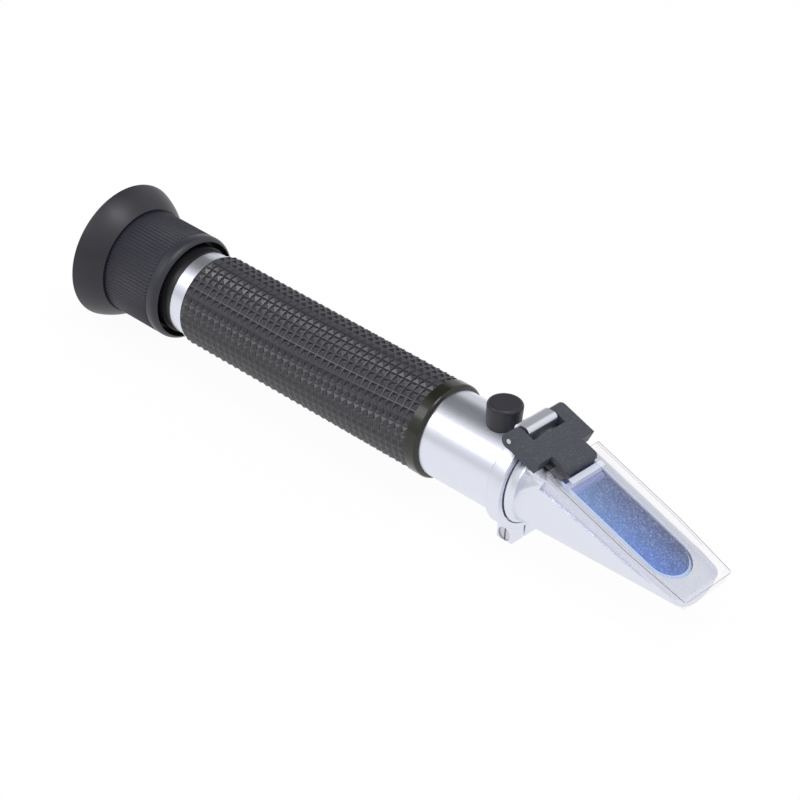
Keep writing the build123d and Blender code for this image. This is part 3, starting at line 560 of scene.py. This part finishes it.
def arc_points(start, middle, end, steps):
    """Points along the circle through three points, ends included."""
    a, b, c = (Vector(point) for point in (start, middle, end))
    turn = 2 * (a.x * (b.y - c.y) + b.x * (c.y - a.y) + c.x * (a.y - b.y))
    squares = [point.length_squared for point in (a, b, c)]
    centre = Vector((
        (squares[0] * (b.y - c.y) + squares[1] * (c.y - a.y) + squares[2] * (a.y - b.y)) / turn,
        (squares[0] * (c.x - b.x) + squares[1] * (a.x - c.x) + squares[2] * (b.x - a.x)) / turn))
    first = math.atan2(a.y - centre.y, a.x - centre.x)
    sweep = math.atan2(c.y - centre.y, c.x - centre.x) - first
    sweep = (sweep + math.pi) % (2 * math.pi) - math.pi
    radius = (a - centre).length
    return [(centre.x + radius * math.cos(first + sweep * step / steps),
             centre.y + radius * math.sin(first + sweep * step / steps)) for step in range(steps + 1)]


def turned_mesh(name, outline, steps, radius_at=None):
    """A closed outline of (x, radius) points turned about the optical axis."""
    points, faces = [], []
    count = len(outline)
    for step in range(steps):
        angle = 2 * math.pi * step / steps
        for x, radius in outline:
            if radius_at:
                radius = radius_at(x, radius, angle)
            points.append(place(x, radius * math.cos(angle), radius * math.sin(angle)))
    for step in range(steps):
        row, following = step * count, (step + 1) % steps * count
        for index in range(count):
            ahead = (index + 1) % count
            faces.append((row + index, following + index, following + ahead, row + ahead))
    mesh = mesh_of(name, points, faces)
    tidy_mesh(mesh)
    return mesh


def tidy_mesh(mesh):
    """Joins points that meet, drops empty faces and turns all faces outwards."""
    shape = bmesh.new()
    shape.from_mesh(mesh)
    bmesh.ops.remove_doubles(shape, verts=shape.verts, dist=MEET_REACH)
    bmesh.ops.dissolve_degenerate(shape, edges=shape.edges, dist=EMPTY_REACH)
    bmesh.ops.recalc_face_normals(shape, faces=shape.faces)
    shape.to_mesh(mesh)
    shape.free()


def grip_sleeve():
    """The rubber sleeve: blunt pyramids on narrow lands, whose rows twist towards the front."""
    corner = drawn_box("grip_sleeve")[1]
    length, peak = corner.x, corner.z - PEAK_DROP
    pitch = length / GRIP_ROWS
    points, faces = [], []

    def add(row, column, radius):
        x = row * pitch
        turned_on = max(0, x - GRIP_STRAIGHT) / (length - GRIP_STRAIGHT)
        angle = 2 * math.pi * column / GRIP_COLUMNS - GRIP_TWIST * turned_on**GRIP_TWIST_POWER
        points.append(place(x, radius * math.cos(angle), radius * math.sin(angle)))
        return len(points) - 1

    def square(row, column, inset, radius):
        low, high = inset, 1 - inset
        corners = ((low, low), (high, low), (high, high), (low, high))
        return [add(row + along, column + across, radius) for along, across in corners]

    bases, tops = {}, {}
    for row in range(GRIP_ROWS):
        for column in range(GRIP_COLUMNS):
            bases[row, column] = square(row, column, LAND_SHARE, GRIP_ROOT)
            tops[row, column] = square(row, column, 0.5 - TOP_SHARE, peak)
            base, top = bases[row, column], tops[row, column]
            faces.append(tuple(top))
            faces.extend((base[i], base[(i + 1) % 4], top[(i + 1) % 4], top[i]) for i in range(4))
    ends = {}
    for row in (0, GRIP_ROWS):
        for column in range(GRIP_COLUMNS):
            ends[row, column] = [(add(row, column + share, GRIP_ROOT), add(row, column + share, GRIP_BORE))
                                 for share in (LAND_SHARE, 1 - LAND_SHARE)]
    for column in range(GRIP_COLUMNS):
        beside = (column + 1) % GRIP_COLUMNS
        for row in range(GRIP_ROWS):
            base, side = bases[row, column], bases[row, beside]
            faces.append((base[3], base[2], side[1], side[0]))
            if row + 1 < GRIP_ROWS:
                ahead, across = bases[row + 1, column], bases[row + 1, beside]
                faces.append((base[1], ahead[0], ahead[3], base[2]))
                faces.append((base[2], ahead[3], across[0], side[1]))
        first, last = bases[0, column], bases[GRIP_ROWS - 1, column]
        back, front = ends[0, column], ends[GRIP_ROWS, column]
        back_side, front_side = ends[0, beside], ends[GRIP_ROWS, beside]
        faces.append((back[0][0], first[0], first[3], back[1][0]))
        faces.append((back[1][0], first[3], bases[0, beside][0], back_side[0][0]))
        faces.append((last[1], front[0][0], front[1][0], last[2]))
        faces.append((last[2], front[1][0], front_side[0][0], bases[GRIP_ROWS - 1, beside][1]))
        faces.append((back[0][1], back[1][1], front[1][1], front[0][1]))
        faces.append((back[1][1], back_side[0][1], front_side[0][1], front[1][1]))
        for rim, rim_side in ((back, back_side), (front, front_side)):
            faces.append((rim[0][0], rim[1][0], rim[1][1], rim[0][1]))
            faces.append((rim[1][0], rim_side[0][0], rim_side[0][1], rim[1][1]))
    mesh = mesh_of("grip_rubber_sleeve", points, faces)
    tidy_mesh(mesh)
    round_edges(finish_piece("grip_rubber_sleeve", mesh, "grip_sleeve"), GRIP_SOFTENING, GRIP_EDGE_ANGLE)


def focus_ring():
    """The focusing ring: fine ribs round its back, a plain rounded lip and a dished mouth."""
    low, high = drawn_box("focus_ring")
    back, front, outer = low.x, high.x, high.z
    ribs_start, ribs_end = back + RIBS_START, back + RIBS_END
    lip_start = front - RING_LIP_REACH
    root, skin = outer - RIB_DEPTH, outer - RING_SKIN

    def ribbed(x, radius, angle):
        if radius < root - RIB_PLAY or not ribs_start < x < ribs_end:
            return radius
        wave = 0.5 + 0.5 * math.cos(RIB_COUNT * angle)
        height = 0.5 + 0.5 * math.tanh(RIB_STEEPNESS * (wave - 0.5))
        fade = min(1, (x - ribs_start) / RIB_FADE, (ribs_end - x) / RIB_FADE)
        return root + RIB_DEPTH * height * fade

    barrel = [(back, root),
              (ribs_start + RIB_PLAY, root), (ribs_start + RIB_RAMP, root),
              (ribs_end - RIB_RAMP, root), (ribs_end - RIB_PLAY, root),
              (ribs_end + RIB_RAMP, outer - RING_SHOULDER), (ribs_end + 2 * RIB_RAMP, skin),
              (lip_start, skin)]
    lip_middle = (front - RING_LIP_MIDDLE[0], outer - RING_LIP_MIDDLE[1])
    lip = arc_points((lip_start, skin), lip_middle, (front, RING_LIP_CREST), RING_LIP_STEPS)
    dish = front - RING_DISH
    recess = dish - RING_MOUTH_DEPTH
    inside = rounded([(dish, RING_MOUTH, RING_MOUTH_ROUND), (recess, RING_MOUTH, 0),
                      (recess, RING_BORE, 0), (back, RING_BORE, 0)])
    mesh = turned_mesh("focusing_ring", barrel + lip[1:] + inside, RIB_COUNT * RIB_STEPS, radius_at=ribbed)
    finish_piece("focusing_ring", mesh, "focus_ring", RING_SHARP_ANGLE)


def eyecup():
    """The soft rubber eyecup: a bell with a thick wall that narrows to the rim."""
    low, high = drawn_box("eyecup")
    rim_x, rim = low.x, high.z
    ring_back = drawn_box("focus_ring")[0].x
    half_way = (rim_x + ring_back) / 2
    throat = ring_back - CUP_THROAT_SETBACK
    rim_start = rim_x + CUP_RIM_ROUND
    rim_inside = rim - CUP_RIM_WALL
    middle_inside = CUP_MIDDLE - CUP_WALL_MIDDLE
    rim_middle = (rim_x, rim - CUP_RIM_WALL / 2)
    outside = arc_points((ring_back, CUP_BASE), (half_way, CUP_MIDDLE), (rim_start, rim), CUP_SIDE_STEPS)
    inside = arc_points((rim_start, rim_inside), (half_way, middle_inside), (throat, CUP_THROAT),
                        CUP_SIDE_STEPS)
    edge = arc_points((rim_start, rim), rim_middle, (rim_start, rim_inside), CUP_RIM_STEPS)
    plug = [(high.x, CUP_THROAT), (high.x, CUP_PLUG), (ring_back, CUP_PLUG)]
    mesh = turned_mesh("eyecup_rubber", outside + edge[1:-1] + inside + plug, CUP_TURN_STEPS)
    finish_piece("eyecup_rubber", mesh, "eyecup", CUP_SHARP_ANGLE)


# Stage

def camera():
    data = bpy.data.cameras.new("camera")
    data.lens = CAMERA_LENS
    data.sensor_width = CAMERA_SENSOR
    data.clip_start, data.clip_end = CAMERA_NEAR, CAMERA_FAR
    viewer = bpy.data.objects.new("camera", data)
    right = CAMERA_LOOK.cross(CAMERA_UP)
    turn = Matrix((right, CAMERA_UP, -CAMERA_LOOK)).transposed()
    viewer.matrix_world = Matrix.Translation(place(*CAMERA_PLACE)) @ turn.to_4x4()
    bpy.context.scene.collection.objects.link(viewer)
    bpy.context.scene.camera = viewer


def seen_directly(paint):
    """1 for what the camera, a mirror or a clear piece shows of the surroundings."""
    seen = [paint.node("ShaderNodeLightPath", output=name)
            for name in ("Is Camera Ray", "Is Glossy Ray", "Is Transmission Ray")]
    return seen[0].most(seen[1]).most(seen[2])


def floor():
    """A white floor that takes only a faint shadow."""
    material, paint = new_paint("floor")
    bare = paint.node("ShaderNodeBsdfDiffuse", None, {"Color": grey(FLOOR_TONE)})
    white = paint.node("ShaderNodeEmission", None, {"Color": grey(1), "Strength": 1.0})
    share = seen_directly(paint) * FLOOR_WHITE
    paint.finish(paint.node("ShaderNodeMixShader", None, {0: share, 1: bare, 2: white}))
    corners = ((-1, -1), (1, -1), (1, 1), (-1, 1))
    mesh = mesh_of("floor", [(x * FLOOR_HALF, y * FLOOR_HALF, 0) for x, y in corners], [(0, 1, 2, 3)])
    mesh.materials.append(material)
    plane = bpy.data.objects.new("floor", mesh)
    bpy.context.scene.collection.objects.link(plane)


def surroundings():
    """A white tent with a dark opening high behind the eyepiece, which shades the upper sides."""
    world = bpy.data.worlds.new("surroundings")
    bpy.context.scene.world = world
    world.use_nodes = True
    paint = Paint(world.node_tree)
    look = paint.node("ShaderNodeTexCoord", output="Generated")
    height = paint.axis(look, "Z").rise(*TENT_CHANGE)
    wall = paint.mix(height, grey(TENT_LOW_TONE), grey(TENT_HIGH_TONE))
    opening = paint.dot(look, OPENING_MIDDLE).rise(*OPENING_EDGE)
    tone = paint.mix(opening, wall, grey(OPENING_TONE))
    camera_ray = paint.node("ShaderNodeLightPath", output="Is Camera Ray")
    tone = paint.mix(camera_ray, tone, grey(1))
    light = paint.node("ShaderNodeBackground", None, {"Color": tone, "Strength": 1.0})
    paint.node("ShaderNodeOutputWorld", None, {"Surface": light})


def lamp(name, spot, size, watts):
    data = bpy.data.lights.new(name, "AREA")
    data.shape = "RECTANGLE"
    data.size, data.size_y = (side * MM for side in size)
    data.energy = watts
    light = bpy.data.objects.new(name, data)
    light.location = place(*spot)
    light.rotation_euler = (place(*LAMP_TARGET) - light.location).to_track_quat("-Z", "Y").to_euler()
    bpy.context.scene.collection.objects.link(light)


def lights():
    lamp("top", spot=(270, -70, 970), size=(330, 330), watts=2.8)
    lamp("side", spot=(-330, -520, 560), size=(420, 300), watts=0.9)


camera()
finishes = make_finishes()
for node, piece in frame["nodes"].items():
    piece.data.materials.clear()
    piece.data.materials.append(finishes[NODE_SLOT[node]])
grip_sleeve()
focus_ring()
eyecup()
for node, width in SOFT_EDGES.items():
    softened(node, width)
floor()
surroundings()
lights()
bpy.context.scene.view_settings.view_transform = "Standard"
